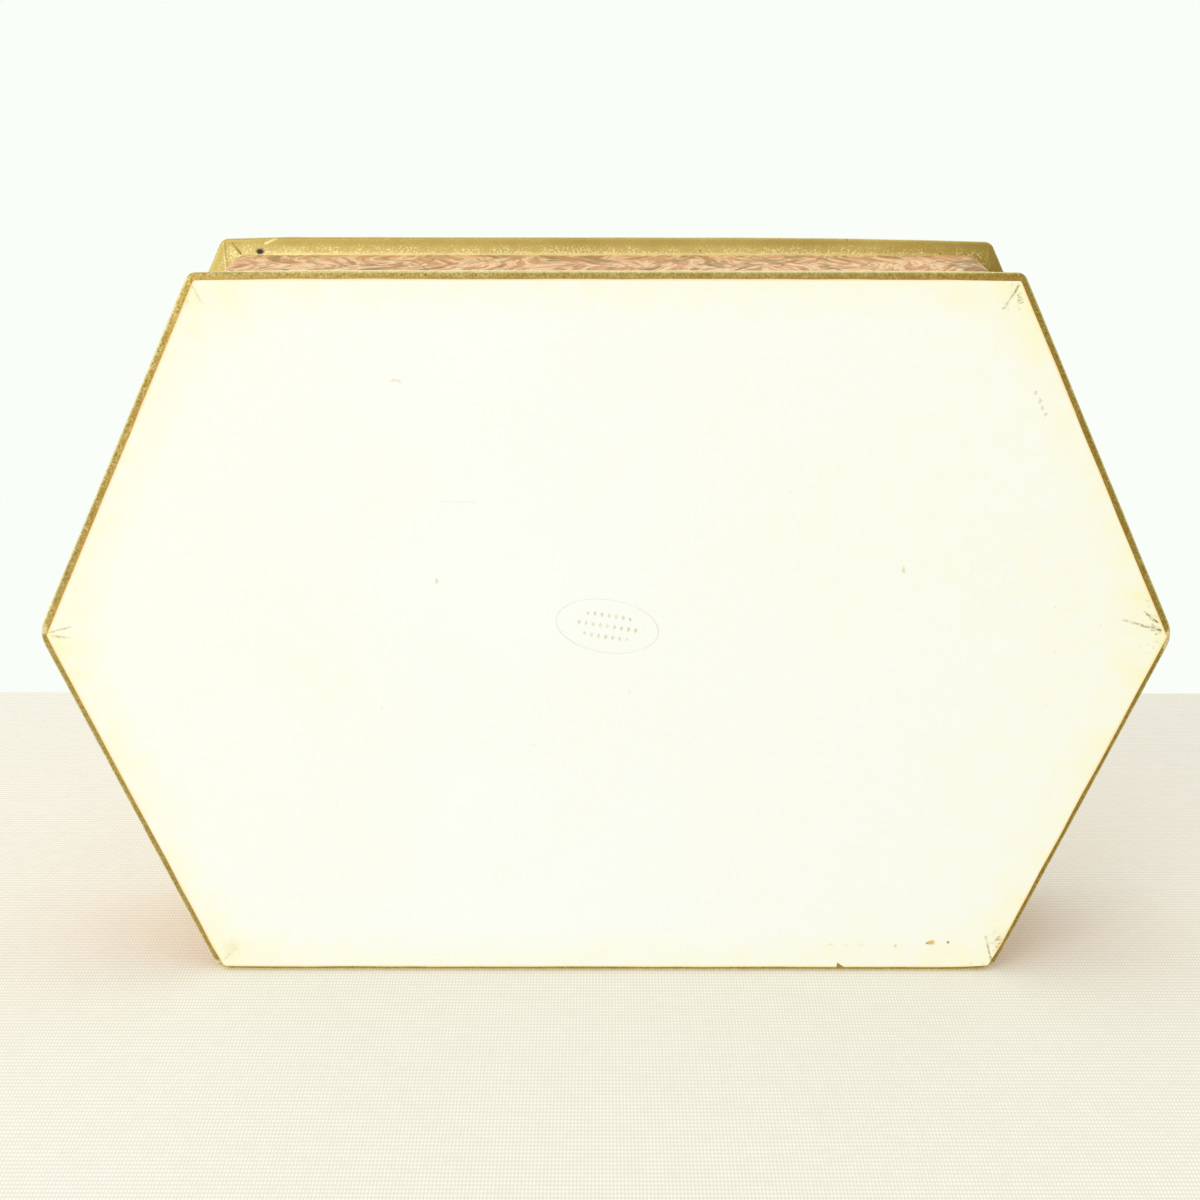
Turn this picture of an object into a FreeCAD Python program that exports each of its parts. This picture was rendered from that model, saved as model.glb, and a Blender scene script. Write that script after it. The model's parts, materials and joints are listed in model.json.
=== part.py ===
import FreeCAD, Part
import math
import os

# Six-sided chocolate box of paper-covered board, with a flanged base and a flanged, hinged lid.
# Millimetres. +Z is up, +Y is towards the hinge, and the origin is the middle of the underside.

# Outline of the base plate and the lid plate
overall_width = 318.0       # tip to tip, before the tips are rounded
overall_depth = 204.0       # long edge to long edge
tip_reach = 46.5            # each tip reaches this far past the ends of the long edges
overall_height = 66.7       # underside to the top of the closed lid
corner_radius = 2.5         # at the ends of the long edges
tip_radius = 8.0            # at the two end tips

# Plates
base_thickness = 2.2        # board with its gold edging
lid_thickness = 2.2
overhang = 5.0              # the plates reach this far past the walls
edge_rounding = 0.5         # gold paper drawn over the plates' edges
edging_thickness = 0.2      # gold paper
base_turn_in = 12.0         # gold paper turned over onto the faces of the base
lid_turn_in = 14.0          # and onto the faces of the lid

# Tray
wall_thickness = 1.8
wall_corner_radius = 6.0    # outside, over the wrap
floor_thickness = 1.5
stay_width = 20.0           # gummed paper over each wall corner
stay_thickness = 0.15

# Papers
wrap_thickness = 0.2        # marbled paper round the walls
rim_turn_in = 15.0          # wrap turned over the rim and down inside
lining_thickness = 0.2      # walls, floor and lid
base_paper_thickness = 0.2
base_paper_margin = 1.9     # gold left showing round the cream sheet
base_paper_shift_x = -0.2   # the sheet is pasted a little out of the middle
base_paper_shift_y = -0.5
lid_paper_thickness = 0.2
lid_paper_margin = 3.0      # gold left showing round the lid's panel
lid_lining_clearance = 3.0  # between the lid's lining and the walls
floor_lining_clearance = 0.3

# Hinge
hinge_end_margin = 13.5     # cloth strip inside the rear wall stops this far from its corners
hinge_leaf_width = 12.0     # each leaf
hinge_thickness = 0.2
hinge_fold_gap = 0.4        # each leaf stops short of the fold
hinge_axis_offset = 0.4     # axis outside the rear wall, so that the flange clears it when open

overrun = 1.0               # cuts run past the faces that they open

# Worked-out places
half_width = overall_width / 2
half_depth = overall_depth / 2
slant_length = math.hypot(half_depth, tip_reach)
slant_normal_x = half_depth / slant_length
slant_normal_y = tip_reach / slant_length

base_low = base_paper_thickness
base_top = base_low + base_thickness
lid_top = overall_height - lid_paper_thickness
rim = lid_top - lid_thickness
floor_top = base_top + floor_thickness

panel_outer_inset = overhang + wrap_thickness
panel_inner_inset = panel_outer_inset + wall_thickness
inside_inset = panel_inner_inset + lining_thickness
turn_in_inset = panel_inner_inset + wrap_thickness
panel_top = rim - wrap_thickness
turn_in_low = rim - rim_turn_in

CORNERS = ["right_tip", "rear_right", "rear_left", "left_tip", "front_left", "front_right"]
WALLS = ["rear_right_wall", "rear_wall", "rear_left_wall",
         "front_left_wall", "front_wall", "front_right_wall"]
PLATE_RADII = [tip_radius, corner_radius, corner_radius] * 2
WALL_RADII = [wall_corner_radius] * len(CORNERS)
SHARP = [0] * len(CORNERS)


def sharp_corners(inset):
    """The outline's six corners, drawn in by inset, from the right tip towards the rear."""
    tip_x = half_width - inset / slant_normal_x
    edge_y = half_depth - inset
    edge_x = half_width - (inset + slant_normal_y * edge_y) / slant_normal_x
    places = [(tip_x, 0), (edge_x, edge_y), (-edge_x, edge_y),
              (-tip_x, 0), (-edge_x, -edge_y), (edge_x, -edge_y)]
    return [FreeCAD.Vector(x, y, 0) for x, y in places]


def unit(vector):
    """The same direction with a length of one."""
    return vector / vector.Length


def outline_face(inset, radii):
    """Flat hexagon at z = 0; each corner is rounded by its own radius, or sharp where that is 0."""
    corners = sharp_corners(inset)
    starts, middles, ends = [], [], []
    for index, corner in enumerate(corners):
        to_last = unit(corners[index - 1] - corner)
        to_next = unit(corners[(index + 1) % len(corners)] - corner)
        half_angle = to_last.getAngle(to_next) / 2
        tangent = radii[index] / math.tan(half_angle)
        depth = radii[index] / math.sin(half_angle) - radii[index]
        starts.append(corner + to_last * tangent)
        middles.append(corner + unit(to_last + to_next) * depth)
        ends.append(corner + to_next * tangent)
    edges = []
    for index in range(len(corners)):
        if radii[index] > 0:
            edges.append(Part.Arc(starts[index], middles[index], ends[index]).toShape())
        next_start = starts[(index + 1) % len(corners)]
        edges.append(Part.LineSegment(ends[index], next_start).toShape())
    return Part.Face(Part.Wire(edges))


def prism(inset, radii, low, high):
    """Upright prism on the rounded outline, drawn in by inset."""
    face = outline_face(inset, radii)
    face.translate(FreeCAD.Vector(0, 0, low))
    return face.extrude(FreeCAD.Vector(0, 0, high - low))


def inset_radii(radii, inset):
    """Corner radii that stay concentric when the outline is drawn in."""
    return [max(radius - inset, 0) for radius in radii]


def block(low, high):
    """Box between two corners."""
    size = high - low
    return Part.makeBox(size.x, size.y, size.z, low)


def bound_plate(low, high, turn_in):
    """A board and the gold paper bound round its edge, flush on both faces."""
    plate = prism(0, PLATE_RADII, low, high)
    level = [edge for edge in plate.Edges if edge.firstVertex().Z == edge.lastVertex().Z]
    plate = plate.makeFillet(edge_rounding, level)
    core_radii = inset_radii(PLATE_RADII, edging_thickness)
    core = prism(edging_thickness, core_radii, low + edging_thickness, high - edging_thickness)
    board = core.fuse(prism(turn_in, SHARP, low, high)).removeSplitter()
    return board, plate.cut(board)


def outward_bisector(index):
    """The way that one wall corner points."""
    corners = sharp_corners(panel_outer_inset)
    corner = corners[index]
    to_last = unit(corners[index - 1] - corner)
    to_next = unit(corners[(index + 1) % len(corners)] - corner)
    return unit(to_last + to_next) * -1


def corner_stay(index):
    """Gummed paper strip bent round the outside of one wall corner."""
    outer = prism(panel_outer_inset, inset_radii(WALL_RADII, wrap_thickness), base_top, panel_top)
    inner_inset = panel_outer_inset + stay_thickness
    inner_radii = inset_radii(WALL_RADII, wrap_thickness + stay_thickness)
    band = outer.cut(prism(inner_inset, inner_radii, base_top, panel_top))
    corner = sharp_corners(panel_outer_inset)[index]
    reach = wall_corner_radius + stay_width
    strip = block(FreeCAD.Vector(-reach, -stay_width / 2, base_top),
                  FreeCAD.Vector(reach, stay_width / 2, panel_top))
    bisector = outward_bisector(index)
    strip.rotate(FreeCAD.Vector(0, 0, 0), FreeCAD.Vector(0, 0, 1),
                 math.degrees(math.atan2(bisector.y, bisector.x)))
    strip.translate(corner)
    return band.common(strip)


def wall_panel(index, stays):
    """One wall, mitred at both ends, with room for the stays outside."""
    outer = sharp_corners(panel_outer_inset)
    inner = sharp_corners(panel_inner_inset)
    following = (index + 1) % len(outer)
    plan = [outer[index], outer[following], inner[following], inner[index], outer[index]]
    slab = Part.Face(Part.makePolygon(plan))
    slab.translate(FreeCAD.Vector(0, 0, base_top))
    slab = slab.extrude(FreeCAD.Vector(0, 0, panel_top - base_top))
    rounded = prism(panel_outer_inset, inset_radii(WALL_RADII, wrap_thickness), base_top, panel_top)
    panel = slab.common(rounded)
    return panel.cut(stays[index]).cut(stays[following])


def ring(outer_inset, outer_radii, inner_inset, inner_radii, low, high):
    """Upright band between two outlines."""
    outer = prism(outer_inset, outer_radii, low, high)
    return outer.cut(prism(inner_inset, inner_radii, low - overrun, high + overrun))


def wall_wrap():
    """Marbled paper: up the outside, over the rim and down inside."""
    outside = ring(overhang, WALL_RADII, panel_outer_inset,
                   inset_radii(WALL_RADII, wrap_thickness), base_top, rim)
    over_rim = ring(overhang, WALL_RADII, turn_in_inset, SHARP, panel_top, rim)
    turned_in = ring(panel_inner_inset, SHARP, turn_in_inset, SHARP, turn_in_low, rim)
    return outside.fuse([over_rim, turned_in]).removeSplitter()


def hinge_leaves():
    """The two leaves of the cloth strip, closed: one on the rear wall, one on the lid."""
    wall_face = half_depth - max(inside_inset, turn_in_inset)
    leaf_face = wall_face - hinge_thickness
    half_length = sharp_corners(turn_in_inset)[1].x - hinge_end_margin
    wall_leaf_top = rim - hinge_thickness - hinge_fold_gap
    wall_leaf = block(FreeCAD.Vector(-half_length, leaf_face, wall_leaf_top - hinge_leaf_width),
                      FreeCAD.Vector(half_length, wall_face, wall_leaf_top))
    lid_leaf_rear = leaf_face - hinge_fold_gap
    lid_leaf = block(FreeCAD.Vector(-half_length, lid_leaf_rear - hinge_leaf_width, rim - hinge_thickness),
                     FreeCAD.Vector(half_length, lid_leaf_rear, rim))
    return wall_leaf, lid_leaf


def base_sheet():
    """Cream paper on the underside, a little out of the middle."""
    radii = inset_radii(PLATE_RADII, base_paper_margin)
    sheet = prism(base_paper_margin, radii, 0, base_low)
    sheet.translate(FreeCAD.Vector(base_paper_shift_x, base_paper_shift_y, 0))
    return sheet


def build():
    """Every node of the box, by name."""
    nodes = {}
    nodes["base_board"], nodes["base_edging"] = bound_plate(base_low, base_top, base_turn_in)
    nodes["base_paper"] = base_sheet()

    stays = [corner_stay(index) for index in range(len(CORNERS))]
    for index, name in enumerate(WALLS):
        nodes[name] = wall_panel(index, stays)
    for name, stay in zip(CORNERS, stays):
        nodes["stay_" + name] = stay
    nodes["wall_wrap"] = wall_wrap()
    nodes["wall_lining"] = ring(panel_inner_inset, SHARP, inside_inset, SHARP, floor_top, turn_in_low)
    nodes["floor_board"] = prism(panel_inner_inset, SHARP, base_top, floor_top)
    nodes["floor_lining"] = prism(inside_inset + floor_lining_clearance, SHARP,
                                  floor_top, floor_top + lining_thickness)

    wall_leaf, lid_leaf = hinge_leaves()
    nodes["hinge_wall_leaf"] = wall_leaf
    nodes["lid_board"], nodes["lid_edging"] = bound_plate(rim, lid_top, lid_turn_in)
    nodes["lid_paper"] = prism(lid_paper_margin, inset_radii(PLATE_RADII, lid_paper_margin),
                               lid_top, overall_height)
    lid_lining = prism(inside_inset + lid_lining_clearance, SHARP, rim - lining_thickness, rim)
    nodes["lid_lining"] = lid_lining.cut(lid_leaf)
    nodes["hinge_lid_leaf"] = lid_leaf
    return nodes


def main():
    """Write each node's one solid, and print what the record needs."""
    os.makedirs("parts", exist_ok=True)
    for name, shape in build().items():
        print(name, "solids", len(shape.Solids), "valid", shape.isValid(), "volume", round(shape.Volume, 2))
        shape.Solids[0].exportStep("parts/" + name + ".step")
    axis_y = half_depth - overhang + hinge_axis_offset
    print("hinge axis: y", round(axis_y, 3), "z", round(rim, 3))
    print("inside: from z", round(floor_top + lining_thickness, 3), "corners:")
    for corner in sharp_corners(inside_inset):
        print("  x", round(corner.x, 2), "y", round(corner.y, 2))


main()
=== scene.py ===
import json
import math
from functools import partial

import bmesh
import bpy
from bpy.props import FloatProperty, FloatVectorProperty, PointerProperty
from mathutils import Matrix, Vector, noise


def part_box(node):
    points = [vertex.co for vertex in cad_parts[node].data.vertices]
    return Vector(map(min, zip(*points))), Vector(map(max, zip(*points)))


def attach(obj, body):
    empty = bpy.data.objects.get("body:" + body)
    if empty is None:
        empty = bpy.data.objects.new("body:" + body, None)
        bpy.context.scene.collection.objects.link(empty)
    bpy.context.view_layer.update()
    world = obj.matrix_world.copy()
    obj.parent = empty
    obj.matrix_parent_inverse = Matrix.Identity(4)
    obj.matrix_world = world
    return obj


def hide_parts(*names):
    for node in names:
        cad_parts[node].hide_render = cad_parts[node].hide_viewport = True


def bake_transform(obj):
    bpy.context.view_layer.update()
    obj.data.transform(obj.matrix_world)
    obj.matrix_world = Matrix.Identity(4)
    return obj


bl_info = {
    "name": "Chocolate Box",
    "version": (1, 0, 0),
    "blender": (4, 5, 0),
    "location": "3D View > Sidebar > Chocolate Box",
    "description": "Covers a six-sided chocolate box in its papers and sets its stage",
    "category": "Add Mesh",
}

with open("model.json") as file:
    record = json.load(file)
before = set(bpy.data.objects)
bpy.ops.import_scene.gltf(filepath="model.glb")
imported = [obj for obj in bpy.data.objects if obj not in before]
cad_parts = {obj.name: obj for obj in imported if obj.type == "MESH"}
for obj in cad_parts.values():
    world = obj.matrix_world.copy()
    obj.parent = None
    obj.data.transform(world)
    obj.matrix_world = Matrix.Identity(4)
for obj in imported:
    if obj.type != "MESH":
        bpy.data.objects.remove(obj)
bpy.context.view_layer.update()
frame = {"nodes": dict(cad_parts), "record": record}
BASE_LOW, BASE_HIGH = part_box("base_edging")
LID_LOW, LID_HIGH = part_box("lid_edging")
WRAP_LOW, WRAP_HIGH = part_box("wall_wrap")
SHEET_LOW, SHEET_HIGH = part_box("base_paper")
PANEL_LOW, PANEL_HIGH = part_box("lid_paper")
WALL_LEAF_LOW, WALL_LEAF_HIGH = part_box("hinge_wall_leaf")
LID_LEAF_LOW, LID_LEAF_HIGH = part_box("hinge_lid_leaf")
MM = 0.001
noise.seed_set(7)
PLAN = Vector((1, 1, 0))
SHEET_PLACE = (SHEET_LOW + SHEET_HIGH) / 2 * PLAN
TIP_REACH = 46.5 * MM
TIP_RADIUS = 8 * MM
# An edge of a piece's outline that is longer than this is cut into runs, and the cream sheet into cells.
LONG_EDGE, LONG_WRAP_EDGE, EDGE_CUTS, SHEET_CELL = 50 * MM, 40 * MM, 24, 6 * MM
# How far each paper strays from its true line, and over what length.
SHEET_WAVER = (0.22 * MM, 11 * MM)
BINDING_WAVER = (0.07 * MM, 9 * MM)
WRAP_WAVER = (0.08 * MM, 14 * MM)
PANEL_WAVER = (0.2 * MM, 12 * MM)
# A fold in the cream sheet: its depth at strength 1 and half its width. Its lines are cut in faces no
# further off than its room, and the torn chip's in faces within that room.
FOLD_DEPTH, FOLD_HALF, FOLD_ROOM, CHIP_ROOM = 0.04 * MM, 0.45 * MM, 9 * MM, 12 * MM
# The marbled paper's lap: its place on the rear wall, its cut edge beyond that, its taper and its slant.
SEAM, LAP_CUT, LAP_TAPER, LAP_SLANT = -50 * MM, 8 * MM, 6 * MM, 3.8 * MM
# Points this close are one, points this close to a cut are on it, and the gold paper keeps this far inside
# the outline, for its waver.
CLOSE, ON_CUT, SPARE = 1e-6, 1e-7, 0.05 * MM
# A pleat of the gold paper: how near its line a point is, and how far in from the corner it goes.
PLEAT_HALF, PLEAT_REACH = 0.02 * MM, 30 * MM
# Rounding of the marbled paper over the rim, and how full and how smooth the hinge strip's fold is.
RIM_ROUNDING, HINGE_FULLNESS, HINGE_STEPS = 0.4 * MM, 0.8, 8
# The camera is rolled a little, and the surround is dimmer low in front and brighter above.
CAMERA_UP, SENSOR_WIDTH, KEY_SIZE = Vector((0.001, 1, 0)), 36, 1.6
LOW_FRONT, OVERHEAD = (0, -0.28, -0.96), (0, 0.25, 0.97)
# The floor's level and half size, and the table's half length and its near and far edges, in metres.
FLOOR_LEVEL, FLOOR_HALF = -0.3 * MM, 6
TABLE_HALF, TABLE_NEAR, TABLE_FAR = 2, -1.6, 0.26
# Where the lid's panel is cut from the sheet of marbled paper, in metres.
PANEL_PLACE = Vector((2, 1))
# Faces that meet at less than this are shaded as one.
SHARP_FROM = math.radians(35)
# The oval mark on the cream sheet: its middle, its turn and its half sizes.
OVAL_PLACE, OVAL_TURN = Vector((-0.4, 2.4, 0)) * MM, math.radians(9)
OVAL_HALF = (14.4, 7.7)
# Scale that sets the threads of the linen and of the table 0.9 mm apart: a wave repeats every tau / 20.
WEAVE = math.tau * (1 / (0.9 * MM)) / 20

# Width of the dirt in a fold of the cream sheet, and of a scratch, in millimetres.
FOLD_WIDTH, SCRATCH_WIDTH = 0.48, 0.36
# Folds pressed into the cream sheet at the six corners: both ends, in millimetres across the base, and
# strength.
FOLD_MARKS = (
    ((155.6, 0.4), (150.0, 2.0), 0.9),
    ((155.0, -0.7), (150.3, -0.9), 0.8),
    ((-155.2, 1.4), (-144.6, 4.3), 1.2),
    ((-154.2, 3.7), (-150.4, 6.7), 1.2),
    ((-111.1, 98.3), (-107.6, 92.6), 1.1),
    ((112.1, 98.4), (108.9, 93.0), 0.4),
    ((111.0, -98.9), (106.9, -95.2), 0.25),
    ((-112.2, -99.0), (-110.2, -91.4), 1.2),
)
# Fine brown scratches on the cream sheet: both ends and strength.
SCRATCHES = (
    ((-110.9, 95.6), (-111.6, 96.2), 1),
    ((-111.1, 95.0), (-112.0, 95.4), 1),
    ((-111.0, 94.2), (-112.2, 94.8), 1),
    ((-111.3, 93.6), (-112.3, 93.8), 1),
    ((-113.6, -91.6), (-114.6, -91.3), 1),
    ((-113.2, -92.4), (-114.8, -92.2), 1),
    ((-114.1, -93.7), (-115.0, -92.8), 1),
    ((-113.3, -94.7), (-114.7, -94.4), 1),
    ((-151.2, 6.0), (-152.6, 4.9), 1),
    ((-152.0, 4.6), (-153.6, 3.8), 1),
    ((-153.0, 2.9), (-154.8, 2.1), 1),
    ((-152.4, 1.7), (-154.8, 1.2), 1),
    ((-153.8, 0.5), (-155.4, 0.8), 1),
    ((45.7, 38.4), (36.1, 38.1), 0.2),
)
# Blots on the cream sheet: middle and half sizes in millimetres, and strength.
YELLOW_BLOTS = (
    ((-94.3, -93.2), (1.4, 0.9), 0.9),
    ((-65.2, -94.1), (1.0, 0.5), 0.35),
    ((-69.9, -94.1), (0.9, 0.45), 0.35),
    ((-74.2, -94.1), (0.9, 0.45), 0.35),
    ((108.6, -95.2), (2.6, 3.4), 0.19),
    ((-113.9, -93.0), (1.9, 2.8), 0.25),
    ((113.3, 93.4), (0.7, 1.4), 0.3),
    ((57.4, 72.0), (1.9, 0.6), 0.4),
    ((47.0, 15.5), (0.5, 0.9), 0.6),
    ((-82.7, 18.8), (0.6, 1.3), 0.5),
)
BROWN_SPOTS = (
    ((-93.4, -93.5), (0.45, 0.45), 0.7),
    ((-99.3, -93.1), (0.45, 0.45), 0.85),
    ((-84.2, -94.4), (0.5, 0.4), 0.35),
    ((-107.2, 92.2), (0.6, 0.5), 0.4),
    ((-117.0, 68.9), (0.5, 0.8), 0.3),
    ((-118.2, 66.7), (0.45, 0.8), 0.3),
    ((-119.0, 64.6), (0.5, 0.8), 0.28),
    ((-120.2, 62.7), (0.5, 0.7), 0.28),
)
# A chip torn out of the cream sheet's front edge, in millimetres.
CHIP = ((-67.0, -102.5), (-67.4, -99.5), (-71.6, -102.5))
# Fine brown dirt ground into the cream sheet: middle, half sizes and strength.
SCUFFS = (
    ((-153, 4), (5, 15), 0.5),
    ((-113.6, -92.6), (3.2, 5), 0.7),
    ((-110.4, 95), (4.5, 5), 0.3),
    ((-96, -100.4), (22, 1.6), 0.4),
)
# Corners that were bumped, on the base and on the lid: the corner, how far the bump reaches and its push,
# in millimetres.
BASE_BUMPS = (
    ((-112.5, -102), 11, (0.3, 0.9)),
    ((112.5, -102), 5, (-0.4, 0.5)),
    ((-112.5, 102), 40, (-0.22, -0.5)),
    ((112.5, 102), 40, (0.29, -0.65)),
)
LID_BUMPS = (
    ((-112.5, 102), 80, (-0.54, -1.2)),
    ((112.5, 102), 22, (0.27, -0.6)),
)
# The two plates: name, body, underside, top and bumped corners.
PLATES = (
    ("base", "tray", BASE_LOW.z, BASE_HIGH.z, BASE_BUMPS),
    ("lid", "lid", LID_LOW.z, LID_HIGH.z, LID_BUMPS),
)
# Places at the tips where the gold paper is rubbed through: middle, half sizes and strength.
WORN_TIPS = (
    ((-157.6, -2.2), (2.2, 6.5), 0.6),
    ((157.4, 1.6), (1.6, 3.2), 0.5),
    ((112.4, -100.6), (4.2, 2.6), 0.6),
    ((-112.2, -100.6), (3.6, 2.2), 0.45),
)
# Marks on the gold paper: tarnish under the lid's corner, painted shade on one side of the base, and under
# the lid's overhang a scorched spot, a painted highlight along a crease and painted shade along the fold of
# a corner, with the width of these two lines.
LID_STAIN = ((-116, 88), (8, 15), 0.5)
BASE_SIDE_SHADE = ((136, 50), (60, 75), 0.8)
SCORCH = ((101.6, 98.0), (1.45, 1.15), 1)
LID_CREASE_HIGHLIGHT = ((99.9, 100.3), (96.8, 101.7), 0.9, 0.5)
LID_FOLD_SHADE = ((107.3, 97.3), (109.6, 100.4), 0.9, 0.5)


def linear(code):
    """Linear colour of an sRGB hex value, with its alpha."""
    parts = [int(code[start:start + 2], 16) / 255 for start in (0, 2, 4)]
    return [part / 12.92 if part <= 0.04045 else ((part + 0.055) / 1.055) ** 2.4 for part in parts] + [1]


def per_mm(size):
    """Texture scale that makes a pattern's features this many millimetres wide."""
    return 1 / (size * MM)


def a_length(name, text, default):
    """Property that is a length in metres."""
    return FloatProperty(name=name, description=text, default=default, unit="LENGTH", precision=5)


def a_colour(name, text, code):
    """Property that is a colour, from its sRGB hex value."""
    return FloatVectorProperty(name=name, description=text, default=linear(code), subtype="COLOR", size=4)


def a_place(name, text, default):
    """Property that is a point in metres."""
    return FloatVectorProperty(name=name, description=text, default=default, subtype="TRANSLATION")


class BoxSizes(bpy.types.PropertyGroup):
    """Sizes of the papers that cover the box."""

    half_depth: a_length("Half depth", "From the middle to a long side of the base", BASE_HIGH.y)
    half_width: a_length(
        "Half width", "From the middle to a tip of the base before it is rounded",
        BASE_HIGH.x + TIP_RADIUS * (math.hypot(1, TIP_REACH / BASE_HIGH.y) - 1))
    tip_reach: a_length("Tip reach", "How far a tip stands out beyond a long side's end", TIP_REACH)
    tip_radius: a_length("Tip radius", "Rounding of the two tips in plan", TIP_RADIUS)
    corner_radius: a_length("Corner radius", "Rounding of the other four corners in plan", 2.5 * MM)
    cut_radius: a_length("Cut corner radius", "Rounding of the cream sheet's scissor-cut corners", 0.8 * MM)
    damp_growth: a_length("Damp growth", "How far damp paste stretched the sheet at a long side", 0.3 * MM)
    edge_rounding: a_length("Edge rounding", "Rounding of the gold paper over a board's edge", 0.5 * MM)
    paper: a_length("Paper", "Thickness of a pasted paper", 0.2 * MM)
    base_turn_in: a_length("Base turn-in", "Width of the gold paper on each face of the base", 12 * MM)
    lid_turn_in: a_length("Lid turn-in", "Width of the gold paper on each face of the lid", 14 * MM)
    fold_height: a_length("Fold height", "How far the gold paper's folds stand up at corners", 0.12 * MM)
    wall_radius: a_length("Wall corner radius", "Rounding of the walls' upright corners", 6 * MM)
    wall_build: a_length("Wall build", "Thickness of a wall with its papers", 2.2 * MM)
    rim_turn_in: a_length("Rim turn-in", "How far the marbled paper goes down inside the walls", 15 * MM)
    lap_width: a_length("Lap width", "Overlap of the marbled paper's two ends on the rear wall", 13 * MM)
    slack: a_length("Hinge slack", "Unpasted part of each hinge leaf, which lets the lid swing", 3.5 * MM)


class BoxColours(bpy.types.PropertyGroup):
    """Colours of the papers and boards."""

    cream: a_colour("Cream", "Sheet under the base", "F9FAF0")
    straw: a_colour("Straw", "Aged tone towards the sheet's edges", "FBF6C2")
    stain: a_colour("Stain", "Yellow blots and foxing", "DDBB62")
    grime: a_colour("Grime", "Brown dirt in scratches and spots", "94681A")
    fold_dirt: a_colour("Fold dirt", "Olive dust in the cream sheet's folds", "9C8620")
    honey: a_colour("Honey", "Yellow line along the sheet's cut edge", "FBDC92")
    rust: a_colour("Rust", "Warm brown line on the gold paper beside the sheet", "CB9240")
    print_line: a_colour("Print", "Faded ink of the oval mark", "D9C79B")
    gold: a_colour("Gold", "Gold paper", "EADB8F")
    dark_gold: a_colour("Dark gold", "Hollows of the gold paper's grain", "B9A24F")
    # Tarnish, also painted shade on one side of the base, at the right-hand end and along the lid's corner
    # fold.
    tarnish: a_colour("Tarnish", "Gold paper darkened by handling", "7E621E")
    # Painted highlight: the powder's glints, the base rim, the lid's crease and the glow beside the wall.
    glint: a_colour("Glint", "Bright flakes of the gold paper's bronze powder", "FAEFB2")
    amber: a_colour("Amber", "Yellowed size over the gold paper's right-hand end", "FFF6A2")
    worn_gold: a_colour("Worn gold", "Gold paper rubbed at corners and edges", "E6D196")
    scorch: a_colour("Scorch", "Scorched spot under the lid", "2E2418")
    pink: a_colour("Pink", "Ground of the marbled paper", "D9A478")
    salmon: a_colour("Salmon", "Darker strokes of the marbled paper", "B2702A")
    blush: a_colour("Blush", "Pale strokes of the marbled paper", "F4D49E")
    vein: a_colour("Vein", "Olive veins of the marbled paper", "685828")
    lining: a_colour("Lining", "Paper inside the box", "F1ECDC")
    board: a_colour("Board", "Grey board of the base, walls and lid", "A69C8B")
    kraft: a_colour("Kraft", "Brown paper of the corner stays", "AD8A61")
    linen: a_colour("Linen", "Cloth of the hinge strip", "F5EFDF")
    thread_gap: a_colour("Thread gap", "Shade between the hinge strip's threads", "D6CBB0")


class StageSettings(bpy.types.PropertyGroup):
    """Camera and light."""

    camera_place: a_place("Camera", "Where the camera stands", (0.0015, 0.20602, -0.6835))
    camera_aim: a_place("Aim", "Point in the middle of the picture", (0.00167, 0.01004, 0))
    lens: FloatProperty(
        name="Lens", description="Focal length on a 36 mm sensor, in millimetres", default=76.5)
    key_place: a_place("Key light", "Where the key light stands", (1.5, 0.9, -2.3))
    key_power: FloatProperty(
        name="Key power", description="Power of the key light", default=29, unit="POWER")
    surface: a_colour("Table", "Surface that the box stands on", "FAF8EA")
    surface_shade: a_colour("Table shade", "Shade between the table surface's threads", "B5B09E")
    floor: a_colour("Floor", "Plain pale floor", "ECEAE2")
    backdrop: a_colour("Backdrop", "What shows behind the table", "F9FEF8")


def feed(target, inputs):
    """Links a node's inputs to other nodes, or sets them where the value is the same all over."""
    for socket, value in inputs.items():
        if isinstance(value, bpy.types.Node):
            value = next(out for out in value.outputs if out.enabled)
        if isinstance(value, bpy.types.NodeSocket):
            target.id_data.links.new(value, target.inputs[socket])
        else:
            target.inputs[socket].default_value = value


def node(tree, kind, *values, stops=(), **named):
    """Adds one shader node. A second word in its kind says what it works out, values go to its inputs in
    order, a name with a capital is an input, and any other name is a setting."""
    kind, _, mode = kind.partition(" ")
    made = tree.nodes.new(f"ShaderNode{kind}")
    if mode:
        setattr(made, "data_type" if kind == "Mix" else "operation", mode)
    for name, value in named.items():
        if name[0].islower():
            setattr(made, name, value)
    used = [index for index, socket in enumerate(made.inputs) if socket.enabled]
    feed(made, dict(zip(used, values)))
    feed(made, {name: value for name, value in named.items() if name[0].isupper()})
    for index, (place, colour) in enumerate(stops):
        spots = made.color_ramp.elements
        spot = spots[index] if index < len(spots) else spots.new(place)
        spot.position, spot.color = place, colour
    return made


def started(name):
    """A new material, what adds a node to it, its shader and the place on the object."""
    made = bpy.data.materials.new(name)
    made.use_nodes = True
    add = partial(node, made.node_tree)
    return made, add, made.node_tree.nodes["Principled BSDF"], add("TexCoord").outputs["Object"]


def wandering(add, place, size, amount):
    """The same place moved about by noise, so that what is drawn there gets an uneven outline."""
    drift = add("TexNoise", Vector=place, Scale=per_mm(size), Detail=2).outputs[1]
    drift = add("VectorMath SUBTRACT", drift, (0.5, 0.5, 0.5))
    drift = add("VectorMath SCALE", drift, amount * MM)
    return add("VectorMath ADD", place, drift)


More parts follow.
